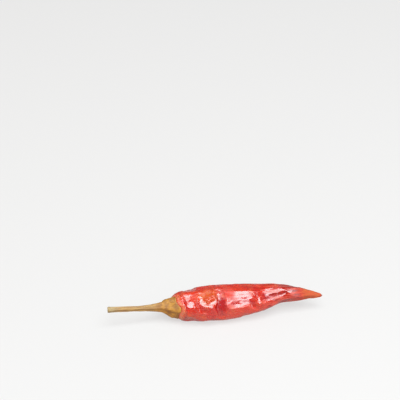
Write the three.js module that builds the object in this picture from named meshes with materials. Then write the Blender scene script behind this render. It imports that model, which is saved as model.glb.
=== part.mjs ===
// A dried chilli pepper lying on its side, in millimetres.
// +X runs from the cut end of the stem to the tip of the pod, +Y to the back, and +Z is up.
// The origin is under the middle of the pepper, on the surface that it lies on.
// The pepper has two pieces: the pod, and the stalk, which is the stem with the cap (calyx) it grows into.
// Angles round the pepper are in degrees, from the top towards the front.
import * as THREE from "three";

// The centre line of the whole pepper, as [x, y, z]. It dips at the belly and rises to both ends.
const CENTRE_LINE = [
  [-45, -1.6, 8.9],
  [-27.5, -0.7, 7.3],
  [-23, -0.45, 7.05],
  [-18, -0.1, 5.95],
  [-8, 0.5, 6.25],
  [6, 0.5, 6.5],
  [18, 0.75, 6.95],
  [28, 1.05, 8],
  [37, 0.3, 7.6],
  [45, -0.9, 6.75],
];

// The pod behind its blunt end, as [x, radius]: shoulder, belly, long taper and rounded tip.
const POD_OUTLINE = [
  [-14, 6.6],
  [-12.3, 6.8],
  [-8, 7.3],
  [-2.5, 7.8],
  [6, 7.45],
  [14.6, 6.7],
  [23, 5.15],
  [27.2, 4.1],
  [31.4, 3.62],
  [35.6, 2.9],
  [39.2, 2.08],
  [42.4, 1.32],
  [44.2, 0.8],
  [45, 0],
];
const POD_WIDTH_SHARE = 1.08; // the pod has sagged a little, so it is wider than it is high
const POD_HEIGHT_SHARE = 0.94;

// The stem from its cut end to the flare, then the cap out to its rim, as [x, radius].
const STALK_OUTLINE = [
  [-45, 1.05],
  [-44.4, 1.18],
  [-42.8, 1.06],
  [-35, 1.02],
  [-29.5, 1.15],
  [-25.7, 1.5],
  [-23.2, 1.95],
  [-21.9, 2.4],
  [-20.6, 3.2],
  [-19.5, 3.8],
];
const CALYX_RADIUS = 3.7;
const RIM_THICKNESS = 0.5;
const CAP_DRAPE = { reach: 0.8, angle: 55 }; // the cap comes further over the pod on one side
const TEETH = 5;
const TOOTH_REACH = 0.6; // how far the rim's blunt teeth stand out from it
const TOOTH_ANGLE = 62; // where the first tooth points
const RIB_HEIGHT = 0.1; // the ribs that run down the stem to the teeth, as a share of its radius
const FLARE = { from: 1.2, full: 3.5 }; // the radii over which the stem takes on the cap's lean

// The pod's blunt end, which fits into the cap. It falls back by the bow times the radius squared.
const SEAT_X = -20;
const SEAT_BOW = 0.13;
const SEAT_GAP = 0.3; // clear space between the cap and the pod
const SHOULDER_RADIUS = 6;
// Cap and blunt end lean towards the tip on one side. The lean dies out along the shoulder.
const LEAN = { share: 0.38, angle: 78, fade: 5 };

// Hollows where the skin has sunk in: x, angle, half length, half width, depth, slant, rise and tilt.
// For each step along it, a hollow slants by so much round the pod and rises by so much towards the tip.
// The tilt is how much it rises for each step round the pod.
// Where hollows meet, the skin follows the deeper one, and a sharp ridge stands between them.
const FRONT_HOLLOWS = [
  [-11.8, 14, 3.5, 2.9, 0.8, -0.25, 0, -0.3],
  [-10.9, 39, 3.0, 2.7, 0.95, 0.2, 0, 0],
  [-12.2, 66, 3.6, 3.3, 0.5, 0.1, 0, 0],
  [-8.4, 96, 4.4, 3.6, 0.4, -0.2, 0, 0],
  [-10.4, -36, 2.8, 3.4, 0.7, 0.2, 0, 0],
  [-4.3, 17, 4.4, 3.2, 0.95, -0.12, 0, 0],
  [-5.2, 43, 2.6, 2.6, 1.0, 0.5, 0, 0],
  [-1.6, 43, 2.4, 2.7, 1.1, -0.45, 0, 0],
  [-4.9, 68, 2.8, 2.6, 0.75, 0.3, 0.1, 0],
  [-1.4, 82, 4.0, 3.4, 0.5, -0.2, 0, 0],
  [2.3, 58, 2.7, 7.6, 1.45, -0.08, 0.4, 0],
  [1.2, 14, 2.6, 2.8, 0.85, 0.3, 0, -0.1],
  [9.0, 45, 7.2, 4.0, 1.1, 0.06, 0, 0],
  [11.2, 43, 4.7, 4.0, 1.12, 0.06, 0, 0],
  [-3.6, -14, 4.6, 3.0, 0.5, 0.1, 0, 0],
  [9.4, -10, 6.6, 3.6, 0.7, 0, 0, 0],
  [9.4, 92, 6.8, 3.6, 0.4, 0.05, 0, 0],
  [17.4, 46, 1.6, 3.4, 0.8, 0.1, 0.16, 0],
  [15.6, 70, 2.6, 3.2, 0.9, 0.5, 0.2, 0],
  [20.4, 2, 6.0, 2.9, 0.5, 0, 0, 0],
  [20.9, 42, 2.7, 3.2, 0.9, 0, 0.18, 0],
  [25.2, 42, 7.2, 3.2, 0.95, 0.04, 0.14, 0],
  [26.2, 84, 6.8, 2.9, 0.5, 0, 0, 0],
  [33.4, 8, 6.4, 2.0, 0.3, 0, 0, 0],
  [36.4, 74, 6.0, 1.9, 0.2, 0, 0, 0],
];
// The hollows of the other side are spread out evenly, with turns by the golden share.
const BACK_HOLLOWS = {
  count: 24,
  reach: [-14, 37],
  angles: [126, 298],
  length: 4.8,
  width: 3.8,
  depth: 1.05,
  slant: 0.4,
  taper: 0.75, // how much narrower and shallower the last one is
};
const GOLDEN_SHARE = 0.618034;
const END_SHARPNESS = 3; // how flat a hollow is along its length, and how steep at its ends
const RIDGE_SOFTNESS = 0.3; // how round the ridges are
// Underneath, where the pod has lain and dried, only a share of the hollows' depth is left.
// It goes by how far the skin faces down, from 0 at the side to 1.
const LAIN = { share: 0.05, from: 0.6, full: 0.9 };

// Fine pleats: round the shoulder, and along the taper to the tip.
const SHOULDER_PLEATS = { count: 9, height: 0.2, x: -15.8, reach: 2.2 };
const TAPER_PLEATS = { count: 5, share: 0.05, from: 16, full: 30, twist: 2 };
const LOBES = { count: 3, share: 0.022, angle: 20 };
const MOST_RELIEF = 0.26; // as a share of the radius, so that the tip stays whole

// Numbers of steps round and along each piece.
const POD_SIDES = 56;
const POD_STEPS = 88;
const STALK_SIDES = 30;
const STALK_STEPS = 28;
const SEAT_STEPS = 4;
const UNDERSIDE_STEPS = 4;

const { clamp, degToRad, lerp, smoothstep } = THREE.MathUtils;

// A smooth line through [place, value] pairs: the slope at each pair comes from its two neighbours.
function lineThrough(pairs) {
  const last = pairs.length - 1;
  const slopes = pairs.map((pair, i) => {
    const before = pairs[Math.max(i - 1, 0)];
    const after = pairs[Math.min(i + 1, last)];
    return (after[1] - before[1]) / (after[0] - before[0]);
  });
  return (place) => {
    const found = pairs.findIndex((pair) => pair[0] > place);
    const end = found < 0 ? last : Math.max(found, 1);
    const [x0, v0] = pairs[end - 1];
    const [x1, v1] = pairs[end];
    const width = x1 - x0;
    const t = clamp((place - x0) / width, 0, 1);
    const rise = v1 - v0;
    const bend = (1 - t) * (slopes[end - 1] * width - rise) - t * (slopes[end] * width - rise);
    return v0 + t * rise + t * (1 - t) * bend;
  };
}

const centreY = lineThrough(CENTRE_LINE.map(([x, y]) => [x, y]));
const centreZ = lineThrough(CENTRE_LINE.map(([x, , z]) => [x, z]));

// The point of the section at x that is a radius out from the centre line.
function pointAt(x, radius, angle, widthShare = 1, heightShare = 1) {
  const y = centreY(x) - radius * widthShare * Math.sin(angle);
  const z = centreZ(x) + radius * heightShare * Math.cos(angle);
  return new THREE.Vector3(x, y, z);
}

const anglesOf = (sides) => Array.from({ length: sides }, (_, i) => (i / sides) * 2 * Math.PI);

const leanAt = (radius, angle) => LEAN.share * radius * Math.cos(angle - degToRad(LEAN.angle));

// The face that the pod and the cap share.
const seatX = (radius, angle) => SEAT_X + SEAT_BOW * radius ** 2 + leanAt(radius, angle);

// A closed surface over rings of points, each going round +X the same way, with one point at each end.
function closedSurface(start, rings, end) {
  const sides = rings[0].length;
  const points = [start, ...rings.flat(), end];
  const at = (ring, side) => 1 + ring * sides + (side % sides);
  const faces = [];
  for (let side = 0; side < sides; side++) {
    faces.push(0, at(0, side + 1), at(0, side));
    faces.push(points.length - 1, at(rings.length - 1, side), at(rings.length - 1, side + 1));
    for (let ring = 0; ring + 1 < rings.length; ring++) {
      const [a, b] = [at(ring, side), at(ring, side + 1)];
      const [c, d] = [at(ring + 1, side), at(ring + 1, side + 1)];
      faces.push(a, b, c, b, d, c);
    }
  }
  const surface = new THREE.BufferGeometry().setFromPoints(points).setIndex(faces);
  surface.computeVertexNormals();
  return surface;
}

function backHollows() {
  const { count, reach, angles, length, width, depth, slant } = BACK_HOLLOWS;
  return Array.from({ length: count }, (_, i) => {
    const along = (i + 0.5) / count;
    const size = 1 - BACK_HOLLOWS.taper * along ** 2;
    const angle = lerp(...angles, (i * GOLDEN_SHARE) % 1);
    return [lerp(...reach, along), angle, length, width * size, depth * size, slant * Math.sin(i), 0, 0];
  });
}

const hollows = [...FRONT_HOLLOWS, ...backHollows()];

// The greater of two depths, with the ridge between them rounded off.
function softMaximum(first, second) {
  const near = Math.max(RIDGE_SOFTNESS - Math.abs(first - second), 0);
  return Math.max(first, second) + near ** 2 / (4 * RIDGE_SOFTNESS);
}

function hollowDepth(x, radius, angle) {
  let sunk = 0;
  for (const [middle, turn, halfLength, halfWidth, deepest, slant, rise, tilt] of hollows) {
    const off = angle - degToRad(turn);
    const roundWay = Math.atan2(Math.sin(off), Math.cos(off)) * radius;
    const offMiddle = x - middle;
    const along = Math.abs(offMiddle) / halfLength;
    const across = (roundWay - slant * offMiddle) / halfWidth;
    const level = deepest * (1 - across ** 2 - along ** END_SHARPNESS);
    const hollow = level - rise * offMiddle - tilt * roundWay;
    sunk = softMaximum(sunk, hollow);
  }
  const lain = smoothstep(-Math.cos(angle), LAIN.from, LAIN.full);
  return sunk * lerp(1, LAIN.share, lain);
}

// How far the skin stands off the plain outline: down in the hollows, up and down in the pleats and lobes.
function podRelief(x, radius, angle) {
  const fromShoulder = (x - SHOULDER_PLEATS.x) / SHOULDER_PLEATS.reach;
  const onShoulder = Math.exp(-(fromShoulder ** 2));
  const shoulder = SHOULDER_PLEATS.height * onShoulder * Math.cos(SHOULDER_PLEATS.count * angle);
  const onTaper = smoothstep(x, TAPER_PLEATS.from, TAPER_PLEATS.full);
  const twisted = angle + degToRad(TAPER_PLEATS.twist * x);
  const taper = TAPER_PLEATS.share * radius * onTaper * Math.cos(TAPER_PLEATS.count * twisted);
  const lobes = LOBES.share * radius * Math.cos(LOBES.count * (angle - degToRad(LOBES.angle)));
  const limit = MOST_RELIEF * radius;
  return clamp(shoulder + taper + lobes - hollowDepth(x, radius, angle), -limit, limit);
}

// The pod lies on a small flat spot: whatever would reach below the surface is pressed level with it.
function podPoint(x, radius, angle) {
  const point = pointAt(x, radius + podRelief(x, radius, angle), angle, POD_WIDTH_SHARE, POD_HEIGHT_SHARE);
  point.z = Math.max(point.z, 0);
  return point;
}

function podGeometry() {
  const angles = anglesOf(POD_SIDES);
  const seatRadii = Array.from({ length: SEAT_STEPS }, (_, i) => (SHOULDER_RADIUS * (i + 1)) / SEAT_STEPS);
  const bluntEnd = seatRadii.map((radius) => {
    return angles.map((angle) => pointAt(seatX(radius, angle), radius, angle));
  });
  const shoulder = new THREE.Vector2(SEAT_X + SEAT_BOW * SHOULDER_RADIUS ** 2, SHOULDER_RADIUS);
  const outline = POD_OUTLINE.map(([x, radius]) => new THREE.Vector2(x, radius));
  const side = new THREE.SplineCurve([shoulder, ...outline]).getSpacedPoints(POD_STEPS).slice(1, -1);
  const skin = side.map((at) => {
    const left = Math.exp((shoulder.x - at.x) / LEAN.fade);
    return angles.map((angle) => podPoint(at.x + left * leanAt(SHOULDER_RADIUS, angle), at.y, angle));
  });
  const tip = POD_OUTLINE.at(-1)[0];
  return closedSurface(pointAt(SEAT_X, 0, 0), [...bluntEnd, ...skin], pointAt(tip, 0, 0));
}

// Five ribs run down the stem and end in the rim's teeth.
const ribWave = (angle) => Math.cos(TEETH * (angle - degToRad(TOOTH_ANGLE)));

function rimRadius(angle) {
  const drape = (1 + Math.cos(angle - degToRad(CAP_DRAPE.angle))) / 2;
  const tooth = (1 + ribWave(angle)) / 2;
  return CALYX_RADIUS + CAP_DRAPE.reach * drape + TOOTH_REACH * tooth;
}

function stalkGeometry() {
  const angles = anglesOf(STALK_SIDES);
  const outline = new THREE.SplineCurve(STALK_OUTLINE.map(([x, radius]) => new THREE.Vector2(x, radius)));
  const stem = outline.getSpacedPoints(STALK_STEPS).map((at) => {
    const flare = smoothstep(at.y, FLARE.from, FLARE.full);
    const outerRadius = (angle) => at.y * (1 + RIB_HEIGHT * ribWave(angle));
    return angles.map((angle) => pointAt(at.x + flare * leanAt(at.y, angle), outerRadius(angle), angle));
  });
  const seatRing = (share, above) =>
    angles.map((angle) => {
      const radius = rimRadius(angle) * share;
      return pointAt(seatX(radius, angle) - SEAT_GAP - above, radius, angle);
    });
  const underside = Array.from({ length: UNDERSIDE_STEPS }, (_, i) => seatRing(1 - i / UNDERSIDE_STEPS, 0));
  const rings = [...stem, seatRing(1, RIM_THICKNESS), ...underside];
  const stemEnd = STALK_OUTLINE[0][0];
  return closedSurface(pointAt(stemEnd, 0, 0), rings, pointAt(SEAT_X - SEAT_GAP, 0, 0));
}

const podSkin = new THREE.MeshStandardMaterial({ color: 0xb5241a, roughness: 0.32, metalness: 0 });
const stalkWood = new THREE.MeshStandardMaterial({ color: 0xbf9450, roughness: 0.85, metalness: 0 });

function named(name, geometry, material) {
  const mesh = new THREE.Mesh(geometry, material);
  mesh.name = name;
  return mesh;
}

const pepper = new THREE.Group();
pepper.add(named("pod", podGeometry(), podSkin));
pepper.add(named("stalk", stalkGeometry(), stalkWood));

// The origin is under the middle of the box that holds the pepper.
const middle = new THREE.Box3().setFromObject(pepper, true).getCenter(new THREE.Vector3());
pepper.position.set(-middle.x, -middle.y, 0);

export default pepper;
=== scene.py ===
"""A dried red chilli pepper lying on a pale surface: the wrinkled pod, and its stalk with the cap."""
import math

import bpy
import numpy as np
from mathutils import Matrix, Vector


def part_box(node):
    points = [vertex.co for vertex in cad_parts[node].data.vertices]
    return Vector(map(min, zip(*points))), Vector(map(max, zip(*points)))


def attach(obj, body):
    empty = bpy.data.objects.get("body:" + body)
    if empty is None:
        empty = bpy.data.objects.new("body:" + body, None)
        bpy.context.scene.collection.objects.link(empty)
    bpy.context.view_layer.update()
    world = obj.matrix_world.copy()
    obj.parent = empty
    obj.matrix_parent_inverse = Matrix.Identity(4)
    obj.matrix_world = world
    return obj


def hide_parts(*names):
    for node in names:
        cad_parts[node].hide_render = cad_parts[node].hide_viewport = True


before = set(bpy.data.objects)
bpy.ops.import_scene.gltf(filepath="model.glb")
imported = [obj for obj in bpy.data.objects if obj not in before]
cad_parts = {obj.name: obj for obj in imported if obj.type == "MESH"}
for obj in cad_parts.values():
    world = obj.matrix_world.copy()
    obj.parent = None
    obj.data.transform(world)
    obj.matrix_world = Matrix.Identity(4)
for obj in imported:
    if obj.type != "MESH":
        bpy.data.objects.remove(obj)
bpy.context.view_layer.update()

MM = 0.001

# The pepper's shape, in millimetres and degrees, as in the part's source.
# Angles go round the pod from the top to the front.
CENTRE_LINE = [
    (-45, -1.6, 8.9),
    (-27.5, -0.7, 7.3),
    (-23, -0.45, 7.05),
    (-18, -0.1, 5.95),
    (-8, 0.5, 6.25),
    (6, 0.5, 6.5),
    (18, 0.75, 6.95),
    (28, 1.05, 8),
    (37, 0.3, 7.6),
    (45, -0.9, 6.75),
]
POD_OUTLINE = [
    (-14, 6.6),
    (-12.3, 6.8),
    (-8, 7.3),
    (-2.5, 7.8),
    (6, 7.45),
    (14.6, 6.7),
    (23, 5.15),
    (27.2, 4.1),
    (31.4, 3.62),
    (35.6, 2.9),
    (39.2, 2.08),
    (42.4, 1.32),
    (44.2, 0.8),
    (45, 0),
]
POD_WIDTH_SHARE = 1.08
POD_HEIGHT_SHARE = 0.94
STALK_OUTLINE = [
    (-45, 1.05),
    (-44.4, 1.18),
    (-42.8, 1.06),
    (-35, 1.02),
    (-29.5, 1.15),
    (-25.7, 1.5),
    (-23.2, 1.95),
    (-21.9, 2.4),
    (-20.6, 3.2),
    (-19.5, 3.8),
]
CALYX_RADIUS = 3.7
DRAPE_REACH, DRAPE_ANGLE = 0.8, 55
TEETH = 5
TOOTH_REACH = 0.6
TOOTH_ANGLE = 62
RIB_HEIGHT = 0.1
FLARE_FROM, FLARE_FULL = 1.2, 3.5
SEAT_X = -20
SEAT_BOW = 0.13
SHOULDER_RADIUS = 6
LEAN_SHARE, LEAN_ANGLE, LEAN_FADE = 0.38, 78, 5

# The cap's edge, from its outside round to its underside.
# Each fold has its share of the rim's radius and its height over the pod's end.
CAP_SINK = 0.3
CAP_FOLDS = [
    (0.93, 0.62),
    (0.985, 0.5),
    (1.0, 0.3),
    (1.0, 0.1),
    (0.98, -0.15),
    (0.9, -CAP_SINK),
    (0.5, -CAP_SINK),
]
CAP_EDGE = 0.5  # how wide the painted highlight of the skin along the cap's edge is

# Hollows of the skin: x, angle, half length, half width, depth, slant, and two rises.
# The first rise is towards the tip, the second round the pod.
FRONT_HOLLOWS = [
    (-11.8, 14, 3.5, 2.9, 0.8, -0.25, 0, -0.3),
    (-10.9, 39, 3.0, 2.7, 0.95, 0.2, 0, 0),
    (-12.2, 66, 3.6, 3.3, 0.5, 0.1, 0, 0),
    (-8.4, 96, 4.4, 3.6, 0.4, -0.2, 0, 0),
    (-10.4, -36, 2.8, 3.4, 0.7, 0.2, 0, 0),
    (-4.3, 17, 4.4, 3.2, 0.95, -0.12, 0, 0),
    (-5.2, 43, 2.6, 2.6, 1.0, 0.5, 0, 0),
    (-1.6, 43, 2.4, 2.7, 1.1, -0.45, 0, 0),
    (-4.9, 68, 2.8, 2.6, 0.75, 0.3, 0.1, 0),
    (-1.4, 82, 4.0, 3.4, 0.5, -0.2, 0, 0),
    (2.3, 58, 2.7, 7.6, 1.45, -0.08, 0.4, 0),
    (1.2, 14, 2.6, 2.8, 0.85, 0.3, 0, -0.1),
    (9.0, 45, 7.2, 4.0, 1.1, 0.06, 0, 0),
    (11.2, 43, 4.7, 4.0, 1.12, 0.06, 0, 0),
    (-3.6, -14, 4.6, 3.0, 0.5, 0.1, 0, 0),
    (9.4, -10, 6.6, 3.6, 0.7, 0, 0, 0),
    (9.4, 92, 6.8, 3.6, 0.4, 0.05, 0, 0),
    (17.4, 46, 1.6, 3.4, 0.8, 0.1, 0.16, 0),
    (15.6, 70, 2.6, 3.2, 0.9, 0.5, 0.2, 0),
    (20.4, 2, 6.0, 2.9, 0.5, 0, 0, 0),
    (20.9, 42, 2.7, 3.2, 0.9, 0, 0.18, 0),
    (25.2, 42, 7.2, 3.2, 0.95, 0.04, 0.14, 0),
    (26.2, 84, 6.8, 2.9, 0.5, 0, 0, 0),
    (33.4, 8, 6.4, 2.0, 0.3, 0, 0, 0),
    (36.4, 74, 6.0, 1.9, 0.2, 0, 0, 0),
]
BACK_COUNT = 24
BACK_REACH = (-14, 37)
BACK_ANGLES = (126, 298)
BACK_LENGTH, BACK_WIDTH, BACK_DEPTH, BACK_SLANT = 4.8, 3.8, 1.05, 0.4
BACK_TAPER = 0.75
GOLDEN_SHARE = 0.618034
END_SHARPNESS = 3  # how flat a hollow is along its length, and how steep at its ends
RIDGE_SOFTNESS = 0.12
LAIN_SHARE, LAIN_FROM, LAIN_FULL = 0.05, 0.6, 0.9
SHOULDER_PLEATS = {"count": 9, "height": 0.2, "x": -15.8, "reach": 2.2}
TAPER_PLEATS = {"count": 5, "share": 0.05, "from": 16, "full": 30, "twist": 2}
LOBE_COUNT, LOBE_SHARE, LOBE_ANGLE = 3, 0.022, 20
MOST_RELIEF = 0.26

# The wobble of the hollows' edges, as waves: rate along X, rate round the pod, start, height.
HOLLOW_WOBBLE = 0.2
WOBBLE_WAVES = [
    (0.45, 0.55, 0, 1),
    (0.3, -0.75, 2, 1),
    (1.15, -0.95, 4, 0.5),
    (0.85, 1.45, 1, 0.5),
]
WOBBLE_SHIFT = 20

POD_SIDES, POD_STEPS, SEAT_STEPS = 224, 380, 14
STALK_SIDES, STALK_STEPS, BULGE_STEPS = 120, 190, 10
ARC_STEPS = 60

# How strong the fine wrinkles are: more near the stalk, less at the tip and deep in the hollows.
CRUMPLED = 0.7
STALK_CRUMPLING, CRUMPLED_TO = 0.3, (-2, 5)
TIP_SMOOTHING, SMOOTH_FROM = 0.3, (24, 44)
HOLLOW_SMOOTHING, SMOOTH_DEPTH = 0.38, (0.3, 1.0)

# Patterns that run along the pepper: the smaller the number, the longer their features.
FOLD_STRETCH, CREASE_STRETCH, PLEAT_STRETCH, LINE_STRETCH = 0.6, 0.45, 0.3, 0.1
GROOVE_STRETCH, FIBRE_STRETCH = 0.07, 0.08

# How quickly and how far the skin's dents wander off their places, next to their size.
WANDER_RATE, WANDER_REACH = 0.7, 1.4
CREST_SHARPNESS = 5.0  # of the fine pleats

# Colours of the skin.
DEEP_RED = (0.335, 0.007, 0.002, 1)
BRIGHT_RED = (0.44, 0.023, 0.004, 1)
WARM_RED = (0.46, 0.065, 0.008, 1)
# Painted shade: a darker red for the deep hollows.
HOLLOW_SHADE_RED = (0.25, 0.002, 0.006, 1)
# Painted highlight: a paler red for the crests between the fine wrinkles' dents.
RIDGE_HIGHLIGHT_RED = (0.52, 0.05, 0.018, 1)
FADED_ORANGE = (0.40, 0.07, 0.006, 1)
DUSKY_RED = (0.2, 0.01, 0.003, 1)
# Painted shade: dark streaks along the taper, laid by a noise rather than by the shape's pleats.
FURROW_SHADE_RED = (0.14, 0.004, 0.002, 1)
# Painted highlight: pale pink streaks along the taper, laid by the same noise.
CREST_HIGHLIGHT_RED = (0.46, 0.06, 0.03, 1)
TIP_ORANGE = (0.315, 0.045, 0.002, 1)
TIP_BROWN = (0.15, 0.03, 0.012, 1)
# Painted highlight: a pale pink rim of skin along the cap's edge.
CAP_EDGE_HIGHLIGHT = (0.5, 0.13, 0.05, 1)

# Colours of the stalk.
DARK_STRAW = (0.197, 0.095, 0.026, 1)
PALE_STRAW = (0.29, 0.163, 0.047, 1)
CAP_BROWN = (0.192, 0.074, 0.01, 1)
CAP_GOLD = (0.332, 0.146, 0.016, 1)
CUT_END = (0.245, 0.182, 0.088, 1)

# Layers of the skin, each over the one before: where it sets in, where it is full, and how much it covers.
# The first ones follow the noises, the relief in millimetres and the depth of the folds.
BRIGHT_PATCHES = (0.35, 0.68, 1.0)
WARM_BLOTCHES = (0.5, 0.75, 0.5)
# Painted shade: darker in the deep hollows.
SHADED_HOLLOWS = (-0.6, -1.3, 0.7)
# Painted highlight: paler where the fine wrinkles' dents are shallow, on their crests.
HIGHLIGHTED_RIDGES = (0.5, 0.0, 0.35)
# Painted shade: the taper's dark streaks.
SHADED_FURROWS = (0.5, 0.38, 1.0)
# Painted highlight: the taper's pale streaks.
HIGHLIGHTED_CRESTS = (0.54, 0.64, 1.0)
DULL_STREAKS = (0.44, 0.6, 0.3)
# Painted highlight along the cap's edge: how much it covers.
CAP_EDGE_HIGHLIGHT_SHARE = 0.8

# These follow the place along X, in metres.
DUSK = (0.016, 0.034, 0.45)
STREAKED_TAPER = (0.012, 0.026, 0.65)
ORANGE_TIP = (0.0385, 0.043, 1.0)
BROWN_TIP = (0.0435, 0.0452, 1.0)
MATT_TIP = (0.03, 0.037, 0.8)
TIP_RAGGEDNESS = 0.004

# Round patches of the skin, in metres: middle and reach.
FADED_PATCHES = [
    ((-0.0035, -0.003, 0.012), 0.0055),
    ((-0.0125, -0.007, 0.004), 0.0045),
]
DULL_PATCH = ((0.005, -0.002, 0.0125), 0.004)
DULL_PATCH_SHARE = 0.45
PATCH_CORE = 0.4
GLOSS = 0.16  # the roughness of the glossiest skin

# Layers of the stalk, in the same way: two follow the noises, two the place along X.
PALE_FIBRES = (0.35, 0.65, 1.0)
GOLDEN_MOTTLE = (0.36, 0.62, 1.0)
GOLDEN_CAP = (-0.0275, -0.0225, 1.0)
GREEN_CUT = (-0.0385, -0.0442, 0.7)
STALK_ROUGHNESS, MOTTLED_ROUGHNESS, MOTTLED_GRAIN = 0.5, 0.2, 0.6

# The camera: it looks down at the pepper from the front, a little from the stem's side.
CAMERA_AZIMUTH, CAMERA_ELEVATION = -7, 35.7
CAMERA_DISTANCE = 0.509
CAMERA_LENS = 110
SENSOR_WIDTH = 36
PICTURE_SIZE = 400
PEPPER_PIXEL = (215.5, 301.8)
PEPPER_MIDDLE = (0, 0, 0.0065)

# The studio: place, aim, size, power and colour of each light, and whether glossy skin mirrors it.
LIGHTS = {
    "overhead": ((0.12, -0.38, 0.8), (0.12, -0.38, 0), (0.8, 0.84), 20.4, (0.85, 0.96, 1.0), True),
    "front": ((0, -0.95, 0.3), (0, 0, 0), (1.6, 0.6), 3.7, (1.0, 0.68, 0.57), False),
    "left": ((-0.9, -0.15, 0.45), (0, 0, 0), (0.7, 0.6), 2.0, (1, 1, 1), True),
    "right": ((0.85, -0.5, 0.3), (0, 0, 0), (0.5, 0.4), 1.6, (1, 1, 1), True),
}
SKY_STRENGTH = 0.44
FLOOR_COLOUR = (0.141, 0.129, 0.123, 1)
FLOOR_GLOW = 0.6
FLOOR_REACH = 3.0
MIRRORED_SHARE = 0.6


def smoothstep(value, low, high):
    share = np.clip((value - low) / (high - low), 0, 1)
    return share * share * (3 - 2 * share)


def smooth_line(place, pairs):
    """The value at each place of a smooth line through (place, value) pairs."""
    places, values = np.array(pairs, float).T
    number = np.arange(len(places))
    before = np.maximum(number - 1, 0)
    after = np.minimum(number + 1, len(places) - 1)
    slopes = (values[after] - values[before]) / (places[after] - places[before])
    end = np.clip(np.searchsorted(places, place, side="right"), 1, len(places) - 1)
    start = end - 1
    width = places[end] - places[start]
    rise = values[end] - values[start]
    share = np.clip((place - places[start]) / width, 0, 1)
    bend = (1 - share) * (slopes[start] * width - rise) - share * (slopes[end] * width - rise)
    return values[start] + share * rise + share * (1 - share) * bend


def smooth_curve(points, count):
    """Evenly spaced points along a smooth curve through the given ones."""
    points = np.array(points, float)
    padded = np.vstack([points[:1], points, points[-1:]])
    a, b, c, d = padded[:-3], padded[1:-2], padded[2:-1], padded[3:]
    slope_b = (c - a) / 2
    slope_c = (d - b) / 2
    t = np.linspace(0, 1, ARC_STEPS, endpoint=False)[:, None, None]
    square = 3 * (c - b) - 2 * slope_b - slope_c
    cube = 2 * (b - c) + slope_b + slope_c
    arcs = b + slope_b * t + square * t**2 + cube * t**3
    fine = np.vstack([arcs.transpose(1, 0, 2).reshape(-1, 2), points[-1:]])
    length = np.concatenate([[0], np.cumsum(np.linalg.norm(np.diff(fine, axis=0), axis=1))])
    even = np.linspace(0, length[-1], count + 1)
    return np.column_stack([np.interp(even, length, fine[:, k]) for k in range(2)])


def section_points(x, radius, angle, width_share=1.0, height_share=1.0):
    """Points of the pepper's sections: rings along X, each counted round by angle."""
    centre_y = smooth_line(x, [(p[0], p[1]) for p in CENTRE_LINE])
    centre_z = smooth_line(x, [(p[0], p[2]) for p in CENTRE_LINE])
    y = centre_y - radius * width_share * np.sin(angle)
    z = centre_z + radius * height_share * np.cos(angle)
    return np.stack(np.broadcast_arrays(x, y, z), axis=-1)


def lean_at(radius, angle):
    """How far the blunt end and the cap lean along X at this distance from the middle."""
    return LEAN_SHARE * radius * np.cos(angle - math.radians(LEAN_ANGLE))


def seat_x(radius, angle):
    """The blunt end of the pod, which fits into the cap."""
    return SEAT_X + SEAT_BOW * radius**2 + lean_at(radius, angle)


def all_hollows():
    """The hollows that the photograph shows, and a spread of like ones over the back."""
    back = []
    for i in range(BACK_COUNT):
        along = (i + 0.5) / BACK_COUNT
        taper = 1 - BACK_TAPER * along**2
        x = BACK_REACH[0] + along * (BACK_REACH[1] - BACK_REACH[0])
        angle = BACK_ANGLES[0] + (i * GOLDEN_SHARE) % 1 * (BACK_ANGLES[1] - BACK_ANGLES[0])
        slant = BACK_SLANT * math.sin(i)
        back.append((x, angle, BACK_LENGTH, BACK_WIDTH * taper, BACK_DEPTH * taper, slant, 0, 0))
    return FRONT_HOLLOWS + back


def soft_maximum(first, second):
    """The greater of two depths, with the ridge between them rounded off."""
    near = np.maximum(RIDGE_SOFTNESS - np.abs(first - second), 0)
    return np.maximum(first, second) + near**2 / (4 * RIDGE_SOFTNESS)


def wandering(x, round_way):
    """A gentle wobble, so that no edge of a hollow is a plain oval."""
    waves = 0
    for along, across, start, height in WOBBLE_WAVES:
        waves = waves + height * np.sin(along * x + across * round_way + start)
    return HOLLOW_WOBBLE * waves


def hollow_depth(x, radius, angle):
    """How deep the hollows are at each point of the plain outline."""
    around_pod = radius * angle
    x = x + wandering(x, around_pod)
    angle = angle + wandering(x + WOBBLE_SHIFT, around_pod) / radius
    sunk = 0
    for middle, turn, half_length, half_width, deepest, slant, rise, tilt in all_hollows():
        off = angle - math.radians(turn)
        round_way = np.arctan2(np.sin(off), np.cos(off)) * radius
        off_middle = x - middle
        along = np.abs(off_middle) / half_length
        across = (round_way - slant * off_middle) / half_width
        hollow = deepest * (1 - across**2 - along**END_SHARPNESS) - rise * off_middle - tilt * round_way
        sunk = soft_maximum(sunk, hollow)
    lain = smoothstep(-np.cos(angle), LAIN_FROM, LAIN_FULL)
    return sunk * (1 + lain * (LAIN_SHARE - 1))


def skin_relief(x, radius, angle):
    """How far the skin stands off the plain outline."""
    from_shoulder = (x - SHOULDER_PLEATS["x"]) / SHOULDER_PLEATS["reach"]
    puckers = np.cos(SHOULDER_PLEATS["count"] * angle)
    shoulder = SHOULDER_PLEATS["height"] * np.exp(-(from_shoulder**2)) * puckers
    on_taper = smoothstep(x, TAPER_PLEATS["from"], TAPER_PLEATS["full"])
    twisted = angle + np.radians(TAPER_PLEATS["twist"] * x)
    taper = TAPER_PLEATS["share"] * radius * on_taper * np.cos(TAPER_PLEATS["count"] * twisted)
    lobes = LOBE_SHARE * radius * np.cos(LOBE_COUNT * (angle - math.radians(LOBE_ANGLE)))
    limit = MOST_RELIEF * radius
    return np.clip(shoulder + taper + lobes - hollow_depth(x, radius, angle), -limit, limit)


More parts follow.
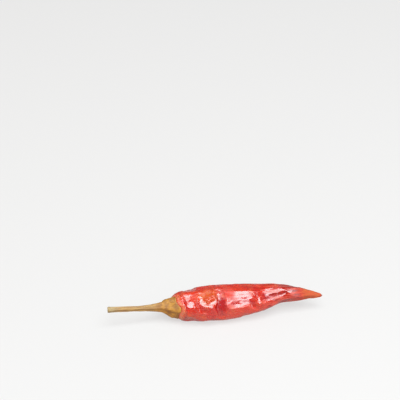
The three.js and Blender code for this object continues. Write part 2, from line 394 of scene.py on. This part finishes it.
def closed_mesh(name, start, rings, end, shift, layers):
    """A closed mesh over rings of points, in millimetres, with one point at each end.

    The layers give values for the rings' points, by name.
    """
    count, sides = rings.shape[:2]
    points = np.vstack([[start], rings.reshape(-1, 3), [end]])
    corner = 1 + np.arange(count * sides).reshape(count, sides)
    turned = np.roll(corner, -1, axis=1)
    quads = np.stack([corner[:-1], turned[:-1], turned[1:], corner[1:]], axis=-1).reshape(-1, 4)
    first = np.column_stack([np.zeros(sides, int), turned[0], corner[0]])
    last = np.column_stack([np.full(sides, len(points) - 1), corner[-1], turned[-1]])
    faces = first.tolist() + quads.tolist() + last.tolist()
    mesh = bpy.data.meshes.new(name)
    mesh.from_pydata(((points + shift) * MM).tolist(), [], faces)
    for layer, values in layers.items():
        padded = np.concatenate([[values[0, 0]], values.ravel(), [values[-1, -1]]])
        attribute = mesh.attributes.new(layer, "FLOAT", "POINT")
        attribute.data.foreach_set("value", padded.astype(np.float32))
    mesh.polygons.foreach_set("use_smooth", np.ones(len(mesh.polygons), bool))
    mesh.update()
    piece = bpy.data.objects.new(name, mesh)
    bpy.context.scene.collection.objects.link(piece)
    return piece


def around(sides):
    """The angles of a ring's points."""
    return (np.arange(sides) / sides * 2 * math.pi)[None, :]


def rib_wave(angle):
    """1 on the ribs that end in the cap's teeth, -1 between them."""
    return np.cos(TEETH * (angle - math.radians(TOOTH_ANGLE)))


def rim_radius(angle):
    """How far out the cap reaches over the pod's blunt end."""
    drape = 0.5 + 0.5 * np.cos(angle - math.radians(DRAPE_ANGLE))
    return CALYX_RADIUS + DRAPE_REACH * drape + TOOTH_REACH * (0.5 + 0.5 * rib_wave(angle))


def pod_rings():
    """Rings of the pod's skin, with two values for each point.

    They say how far it stands off the plain outline, and how near it is to the cap's edge.
    """
    angle = around(POD_SIDES)
    seat_radius = np.linspace(0, SHOULDER_RADIUS, SEAT_STEPS + 1)[1:, None]
    blunt_end = section_points(seat_x(seat_radius, angle), seat_radius, angle)
    from_edge = (seat_radius - rim_radius(angle) - CAP_EDGE) / CAP_EDGE
    end_by_cap = np.exp(-(from_edge**2))
    shoulder_x = SEAT_X + SEAT_BOW * SHOULDER_RADIUS**2
    side = smooth_curve([(shoulder_x, SHOULDER_RADIUS)] + POD_OUTLINE, POD_STEPS)[1:-1]
    x, radius = side[:, :1], side[:, 1:]
    x = x + np.exp((shoulder_x - x) / LEAN_FADE) * lean_at(SHOULDER_RADIUS, angle)
    stand_off = skin_relief(x, radius, angle)
    skin = section_points(x, radius + stand_off, angle, POD_WIDTH_SHARE, POD_HEIGHT_SHARE)
    skin[..., 2] = np.maximum(skin[..., 2], 0)
    relief = np.concatenate([np.zeros_like(end_by_cap), stand_off])
    by_cap = np.concatenate([end_by_cap, np.zeros_like(stand_off)])
    return np.concatenate([blunt_end, skin]), relief, by_cap


def stalk_rings():
    """Rings of the stem and cap, the cap's underside last."""
    angle = around(STALK_SIDES)
    outline = smooth_curve(STALK_OUTLINE, STALK_STEPS)
    x, radius = outline[:, :1], outline[:, 1:]
    flare = smoothstep(radius, FLARE_FROM, FLARE_FULL)
    ribbed = radius * (1 + RIB_HEIGHT * rib_wave(angle))
    stem = section_points(x + flare * lean_at(radius, angle), ribbed, angle)
    folds = []
    for share, above in CAP_FOLDS:
        rim = rim_radius(angle) * share
        folds.append(section_points(seat_x(rim, angle) - above, rim, angle))
    last = stem[-1]
    bulge = [last * (1 - t) + folds[0] * t for t in np.linspace(0, 1, BULGE_STEPS)[1:-1]]
    return np.concatenate([stem, *bulge, *folds])


def crumpling(along, relief):
    """How strong the fine wrinkles are at each point of the skin."""
    by_stalk = STALK_CRUMPLING * (1 - smoothstep(along, *CRUMPLED_TO))
    by_tip = TIP_SMOOTHING * smoothstep(along, *SMOOTH_FROM)
    in_hollow = HOLLOW_SMOOTHING * smoothstep(-relief, *SMOOTH_DEPTH)
    return (CRUMPLED + by_stalk - by_tip) * (1 - in_hollow)


def new_tree(name, sizes):
    """A Geometry Nodes tree with named inputs, from (name, value)."""
    tree = bpy.data.node_groups.new(name, "GeometryNodeTree")
    tree.interface.new_socket("Geometry", in_out="INPUT", socket_type="NodeSocketGeometry")
    tree.interface.new_socket("Geometry", in_out="OUTPUT", socket_type="NodeSocketGeometry")
    for label, value in sizes:
        socket = tree.interface.new_socket(label, in_out="INPUT", socket_type="NodeSocketFloat")
        socket.default_value = value
    return tree


class Maker:
    """Adds nodes to a tree. Each call gives the new node's chosen output."""

    def __init__(self, tree):
        self.tree = tree

    def node(self, kind, inputs=None, output=0, **settings):
        made = self.tree.nodes.new(kind)
        for key, value in settings.items():
            setattr(made, key, value)
        for key, value in (inputs or {}).items():
            if isinstance(value, bpy.types.NodeSocket):
                self.tree.links.new(value, made.inputs[key])
            else:
                made.inputs[key].default_value = value
        return made.outputs[output]

    def math(self, operation, first, second=0.0):
        return self.node("ShaderNodeMath", {0: first, 1: second}, operation=operation)

    def vector(self, operation, first, second):
        key = "Scale" if operation == "SCALE" else 1
        return self.node("ShaderNodeVectorMath", {0: first, key: second}, operation=operation)

    def noise(self, place, **inputs):
        return self.node("ShaderNodeTexNoise", {"Vector": place, **inputs})

    def seeded_noise(self, place, seed, size, output=0, **inputs):
        """Noise for a shape, with features of the given size."""
        settings = {"Vector": place, "W": seed, "Scale": self.math("DIVIDE", 1.0, size), **inputs}
        return self.node("ShaderNodeTexNoise", settings, output, noise_dimensions="4D")

    def mask(self, value, start, full, share):
        """0 up to the start, the share from the full value on, and smooth between."""
        settings = {"Value": value, "From Min": start, "From Max": full}
        rising = self.node("ShaderNodeMapRange", settings, interpolation_type="SMOOTHSTEP")
        return self.math("MULTIPLY", rising, share)

    def mixed(self, share, first, second):
        """The first colour, turning into the second by the share."""
        settings = {0: share, 6: first, 7: second}
        return self.node("ShaderNodeMix", settings, 2, data_type="RGBA")

    def attribute(self, name):
        return self.node("ShaderNodeAttribute", output="Fac", attribute_name=name)


def wrinkle_layer(make, size, depth, seed, stretch):
    """Small dents of the given size, as an inward depth.

    There is a sharp ridge wherever one dent meets the next.
    """
    place = make.node("GeometryNodeInputPosition")
    stretched = make.vector("MULTIPLY", place, (stretch, 1.0, 1.0))
    broader = make.math("DIVIDE", size, WANDER_RATE)
    wander = make.seeded_noise(stretched, seed, broader, "Color", Detail=2.0)
    centred = make.vector("SUBTRACT", wander, (0.5, 0.5, 0.5))
    shift = make.vector("SCALE", centred, make.math("MULTIPLY", size, WANDER_REACH))
    from_middle = make.node(
        "ShaderNodeTexVoronoi",
        {"Vector": make.vector("ADD", stretched, shift), "W": seed, "Scale": make.math("DIVIDE", 1.0, size)},
        output="Distance",
        voronoi_dimensions="4D",
        feature="F1",
    )
    dent = make.math("SUBTRACT", 1.0, make.math("POWER", from_middle, 2.0))
    return make.math("MULTIPLY", make.math("MAXIMUM", dent, 0.0), depth)


def pleat_layer(make, size, depth, seed, stretch):
    """Fine pleats that run along the pod: sharp crests with round furrows between, as an inward depth."""
    stretched = make.vector("MULTIPLY", make.node("GeometryNodeInputPosition"), (stretch, 1.0, 1.0))
    waves = make.seeded_noise(stretched, seed, size, Detail=2.0, Distortion=0.3)
    off_crest = make.math("ABSOLUTE", make.math("SUBTRACT", waves, 0.5))
    furrow = make.math("MINIMUM", make.math("MULTIPLY", off_crest, CREST_SHARPNESS), 1.0)
    return make.math("MULTIPLY", furrow, depth)


def finish_tree(tree, make, geometry, material):
    """Ends a tree with a whole mesh in its material."""
    whole = make.node("GeometryNodeRealizeInstances", {"Geometry": geometry})
    dressed = make.node("GeometryNodeSetMaterial", {"Geometry": whole, "Material": material})
    tree.links.new(dressed, tree.nodes.new("NodeGroupOutput").inputs[0])


def wrinkled_skin_tree(skin):
    tree = new_tree(
        "wrinkled skin",
        [
            ("Fold size", 2.8 * MM),
            ("Fold depth", 0.24 * MM),
            ("Crease size", 1.2 * MM),
            ("Crease depth", 0.16 * MM),
            ("Pleat size", 1.7 * MM),
            ("Pleat depth", 0.09 * MM),
            ("Seed", 3.0),
            ("Crease seed", 10.0),
        ],
    )
    make = Maker(tree)
    given = tree.nodes.new("NodeGroupInput").outputs
    seed = given["Seed"]
    crumpled = make.node("GeometryNodeInputNamedAttribute", {"Name": "crumpled"}, data_type="FLOAT")
    folds = wrinkle_layer(make, given["Fold size"], given["Fold depth"], seed, FOLD_STRETCH)
    creases = wrinkle_layer(
        make, given["Crease size"], given["Crease depth"], given["Crease seed"], CREASE_STRETCH
    )
    pleats = pleat_layer(make, given["Pleat size"], given["Pleat depth"], seed, PLEAT_STRETCH)
    wrinkles = make.math("ADD", make.math("ADD", folds, creases), pleats)
    sunk = make.math("MULTIPLY", wrinkles, crumpled)
    outwards = make.node("GeometryNodeInputNormal")
    inward = make.vector("SCALE", outwards, make.math("MULTIPLY", sunk, -1.0))
    moved = make.node("GeometryNodeSetPosition", {"Geometry": given["Geometry"], "Offset": inward})
    parts = make.node("ShaderNodeSeparateXYZ", {0: make.node("GeometryNodeInputPosition")}).node.outputs
    above_floor = make.math("MAXIMUM", parts["Z"], 0.0)
    flat = make.node("ShaderNodeCombineXYZ", {"X": parts["X"], "Y": parts["Y"], "Z": above_floor})
    lying = make.node("GeometryNodeSetPosition", {"Geometry": moved, "Position": flat})
    sunk_kept = make.node(
        "GeometryNodeStoreNamedAttribute",
        {"Geometry": lying, "Name": "sunk", "Value": make.math("DIVIDE", sunk, given["Fold depth"])},
        data_type="FLOAT",
        domain="POINT",
    )
    finish_tree(tree, make, sunk_kept, skin)
    return tree


def grooved_stalk_tree(straw):
    tree = new_tree(
        "grooved stalk",
        [
            ("Groove width", 0.42 * MM),
            ("Groove depth", 0.44 * MM),
            ("Lump size", 3.2 * MM),
            ("Lump height", 0.32 * MM),
            ("Seed", 5.0),
        ],
    )
    make = Maker(tree)
    given = tree.nodes.new("NodeGroupInput").outputs
    seed = given["Seed"]
    place = make.node("GeometryNodeInputPosition")
    stretched = make.vector("MULTIPLY", place, (GROOVE_STRETCH, 1.0, 1.0))
    fibres = make.seeded_noise(stretched, seed, given["Groove width"], Detail=3.0)
    grooves = make.math("MULTIPLY", make.math("SUBTRACT", fibres, 0.5), given["Groove depth"])
    lumps = make.seeded_noise(place, seed, given["Lump size"], Detail=2.0)
    swelling = make.math("MULTIPLY", make.math("SUBTRACT", lumps, 0.5), given["Lump height"])
    height = make.math("ADD", grooves, swelling)
    outward = make.vector("SCALE", make.node("GeometryNodeInputNormal"), height)
    moved = make.node("GeometryNodeSetPosition", {"Geometry": given["Geometry"], "Offset": outward})
    finish_tree(tree, make, moved, straw)
    return tree


def grow(piece, tree):
    """Runs the tree on the piece and keeps the result as a plain mesh."""
    modifier = piece.modifiers.new(tree.name, "NODES")
    modifier.node_group = tree
    seen = piece.evaluated_get(bpy.context.evaluated_depsgraph_get())
    mesh = bpy.data.meshes.new_from_object(seen)
    mesh.name = piece.name
    piece.modifiers.clear()
    piece.data = mesh


def new_material(name):
    material = bpy.data.materials.new(name)
    material.use_nodes = True
    return material, Maker(material.node_tree), material.node_tree.nodes["Principled BSDF"]


def patch_at(make, place, middle, reach, share=1.0):
    """The share in the middle of a round patch of the skin, 0 outside it."""
    away = make.node("ShaderNodeVectorMath", {0: place, 1: middle}, "Value", operation="DISTANCE")
    return make.mask(away, reach, reach * PATCH_CORE, share)


def skin_colour(make, place, along, patches, blotches, lines):
    """Red with orange patches and an orange-brown tip, with painted shade in the deep hollows and the
    taper's dark streaks, and painted highlight on the wrinkles' crests, the taper's pale streaks and the
    cap's edge.
    """
    red = make.mixed(make.mask(patches, *BRIGHT_PATCHES), DEEP_RED, BRIGHT_RED)
    warm = make.mixed(make.mask(blotches, *WARM_BLOTCHES), red, WARM_RED)
    # Painted shade in the deep hollows.
    deep = make.mixed(make.mask(make.attribute("relief"), *SHADED_HOLLOWS), warm, HOLLOW_SHADE_RED)
    # Painted highlight on the fine wrinkles' crests.
    ridge_highlighted = make.mixed(make.mask(make.attribute("sunk"), *HIGHLIGHTED_RIDGES), deep, RIDGE_HIGHLIGHT_RED)
    first, second = [patch_at(make, place, middle, reach) for middle, reach in FADED_PATCHES]
    fading = make.math("MULTIPLY", make.math("ADD", first, second), blotches)
    faded = make.mixed(fading, ridge_highlighted, FADED_ORANGE)
    dusky = make.mixed(make.mask(along, *DUSK), faded, DUSKY_RED)
    on_taper = make.mask(along, *STREAKED_TAPER)
    # Painted shade and painted highlight streaks on the taper.
    furrows = make.math("MULTIPLY", make.mask(lines, *SHADED_FURROWS), on_taper)
    furrow_shaded = make.mixed(furrows, dusky, FURROW_SHADE_RED)
    crests = make.math("MULTIPLY", make.mask(lines, *HIGHLIGHTED_CRESTS), on_taper)
    streaked = make.mixed(crests, furrow_shaded, CREST_HIGHLIGHT_RED)
    ragged = make.math("MULTIPLY", make.math("ADD", patches, lines), TIP_RAGGEDNESS)
    orange = make.mixed(make.mask(make.math("ADD", along, ragged), *ORANGE_TIP), streaked, TIP_ORANGE)
    ended = make.mixed(make.mask(along, *BROWN_TIP), orange, TIP_BROWN)
    # Painted highlight along the cap's edge.
    by_cap = make.math("MULTIPLY", make.attribute("by_cap"), CAP_EDGE_HIGHLIGHT_SHARE)
    return make.mixed(by_cap, ended, CAP_EDGE_HIGHLIGHT)


def skin_roughness(make, place, along, blotches, lines):
    """Glossy, with duller streaks and a dull patch on the large facet, and matt towards the tip."""
    average = make.math("MULTIPLY", make.math("ADD", blotches, lines), 0.5)
    dull = make.mask(average, *DULL_STREAKS)
    patch = patch_at(make, place, *DULL_PATCH, DULL_PATCH_SHARE)
    matt = make.mask(along, *MATT_TIP)
    return make.math("ADD", make.math("ADD", dull, patch), make.math("ADD", matt, GLOSS))


def chilli_skin():
    """Glossy dried skin, with a fine grain."""
    material, make, shader = new_material("chilli skin")
    place = make.node("ShaderNodeTexCoord", output="Object")
    along = make.node("ShaderNodeSeparateXYZ", {0: place}, "X")
    patches = make.noise(place, Scale=95.0, Detail=4.0, Roughness=0.55)
    blotches = make.noise(place, Scale=260.0, Detail=3.0)
    stretched = make.vector("MULTIPLY", place, (LINE_STRETCH, 1.0, 1.0))
    lines = make.noise(stretched, Scale=1100.0, Detail=3.0)
    colour = skin_colour(make, place, along, patches, blotches, lines)
    make.tree.links.new(colour, shader.inputs["Base Color"])
    roughness = skin_roughness(make, place, along, blotches, lines)
    make.tree.links.new(roughness, shader.inputs["Roughness"])
    shader.inputs["IOR"].default_value = 1.72
    shader.inputs["Subsurface Weight"].default_value = 0.35
    shader.inputs["Subsurface Radius"].default_value = (1.0, 0.15, 0.05)
    shader.inputs["Subsurface Scale"].default_value = 0.003
    fine = make.noise(place, Scale=900.0, Detail=5.0, Roughness=0.6)
    bump = make.node("ShaderNodeBump", {"Height": fine, "Strength": 0.15, "Distance": 0.0002})
    make.tree.links.new(bump, shader.inputs["Normal"])
    return material


def dry_straw():
    """The stalk's matt fibre: straw on the stem, mottled golden brown on the cap, greener at the cut end."""
    material, make, shader = new_material("dry straw")
    place = make.node("ShaderNodeTexCoord", output="Object")
    along = make.node("ShaderNodeSeparateXYZ", {0: place}, "X")
    stretched = make.vector("MULTIPLY", place, (FIBRE_STRETCH, 1.0, 1.0))
    fibres = make.noise(stretched, Scale=2400.0, Detail=4.0)
    mottle = make.noise(place, Scale=330.0, Detail=5.0, Roughness=0.6)
    straw = make.mixed(make.mask(fibres, *PALE_FIBRES), DARK_STRAW, PALE_STRAW)
    golden = make.mixed(make.mask(mottle, *GOLDEN_MOTTLE), CAP_BROWN, CAP_GOLD)
    body = make.mixed(make.mask(along, *GOLDEN_CAP), straw, golden)
    ended = make.mixed(make.mask(along, *GREEN_CUT), body, CUT_END)
    make.tree.links.new(ended, shader.inputs["Base Color"])
    roughness = make.math("ADD", make.math("MULTIPLY", mottle, MOTTLED_ROUGHNESS), STALK_ROUGHNESS)
    make.tree.links.new(roughness, shader.inputs["Roughness"])
    shader.inputs["IOR"].default_value = 1.45
    grain = make.math("ADD", fibres, make.math("MULTIPLY", mottle, MOTTLED_GRAIN))
    bump = make.node("ShaderNodeBump", {"Height": grain, "Strength": 0.5, "Distance": 0.0002})
    make.tree.links.new(bump, shader.inputs["Normal"])
    return material


def dimmer_in_reflections(make, strength):
    """The strength of a pale surround, of which glossy skin mirrors only a share."""
    mirrored = make.node("ShaderNodeLightPath", output="Is Glossy Ray")
    lost = make.math("MULTIPLY", mirrored, strength * (1 - MIRRORED_SHARE))
    return make.math("SUBTRACT", strength, lost)


def pale_surface():
    material, make, shader = new_material("pale surface")
    shader.inputs["Base Color"].default_value = FLOOR_COLOUR
    shader.inputs["Roughness"].default_value = 0.6
    shader.inputs["Emission Color"].default_value = (1, 1, 1, 1)
    make.tree.links.new(dimmer_in_reflections(make, FLOOR_GLOW), shader.inputs["Emission Strength"])
    return material


def put_camera():
    azimuth, elevation = math.radians(CAMERA_AZIMUTH), math.radians(CAMERA_ELEVATION)
    level = Vector((math.sin(azimuth), -math.cos(azimuth), 0))
    back = level * math.cos(elevation) + Vector((0, 0, math.sin(elevation)))
    right = Vector((math.cos(azimuth), math.sin(azimuth), 0))
    up = back.cross(right)
    data = bpy.data.cameras.new("camera")
    data.lens = CAMERA_LENS
    data.sensor_width = SENSOR_WIDTH
    data.clip_start = 0.01
    pixel = SENSOR_WIDTH / CAMERA_LENS / PICTURE_SIZE * CAMERA_DISTANCE
    aside = (PEPPER_PIXEL[0] - PICTURE_SIZE / 2) * pixel
    below = (PEPPER_PIXEL[1] - PICTURE_SIZE / 2) * pixel
    place = Vector(PEPPER_MIDDLE) + back * CAMERA_DISTANCE - right * aside + up * below
    camera = bpy.data.objects.new("camera", data)
    turned = Matrix((right, up, back)).transposed().to_4x4()
    camera.matrix_world = Matrix.Translation(place) @ turned
    bpy.context.scene.collection.objects.link(camera)
    bpy.context.scene.camera = camera


def put_light(name, place, aim, size, power, colour, mirrored):
    data = bpy.data.lights.new(name, "AREA")
    data.shape = "RECTANGLE"
    data.size, data.size_y = size
    data.energy = power
    data.color = colour
    light = bpy.data.objects.new(name, data)
    light.location = place
    light.visible_glossy = mirrored
    light.rotation_euler = (Vector(aim) - Vector(place)).to_track_quat("-Z", "Y").to_euler()
    bpy.context.scene.collection.objects.link(light)


def put_floor():
    mesh = bpy.data.meshes.new("floor")
    far = FLOOR_REACH
    corners = [(-far, -far, 0), (far, -far, 0), (far, far, 0), (-far, far, 0)]
    mesh.from_pydata(corners, [], [(0, 1, 2, 3)])
    mesh.materials.append(pale_surface())
    floor = bpy.data.objects.new("floor", mesh)
    bpy.context.scene.collection.objects.link(floor)


def put_studio():
    world = bpy.data.worlds.new("studio")
    bpy.context.scene.world = world
    world.use_nodes = True
    sky = world.node_tree.nodes["Background"]
    sky.inputs["Color"].default_value = (1, 1, 1, 1)
    strength = dimmer_in_reflections(Maker(world.node_tree), SKY_STRENGTH)
    world.node_tree.links.new(strength, sky.inputs["Strength"])
    for name, settings in LIGHTS.items():
        put_light(name, *settings)
    bpy.context.scene.view_settings.view_transform = "Standard"
    bpy.context.scene.view_settings.look = "None"


put_camera()
put_floor()
put_studio()

rings, relief, by_cap = pod_rings()
# The part's source centres the pepper on its box, so the fine pod is set on the middle of the solid one.
low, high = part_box("pod")
solid_middle = (low[1] + high[1]) / 2 / MM
fine_middle = (rings[..., 1].min() + rings[..., 1].max()) / 2
shift = np.array([0, solid_middle - fine_middle, 0])

pod = closed_mesh(
    "pod_skin",
    section_points(SEAT_X, 0, 0),
    rings,
    section_points(POD_OUTLINE[-1][0], 0, 0),
    shift,
    {"relief": relief, "crumpled": crumpling(rings[..., 0], relief), "by_cap": by_cap},
)
grow(pod, wrinkled_skin_tree(chilli_skin()))
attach(pod, "root")
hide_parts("pod")

stalk = closed_mesh(
    "stem_and_cap",
    section_points(STALK_OUTLINE[0][0], 0, 0),
    stalk_rings(),
    section_points(SEAT_X + CAP_SINK, 0, 0),
    shift,
    {},
)
grow(stalk, grooved_stalk_tree(dry_straw()))
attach(stalk, "root")
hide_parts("stalk")
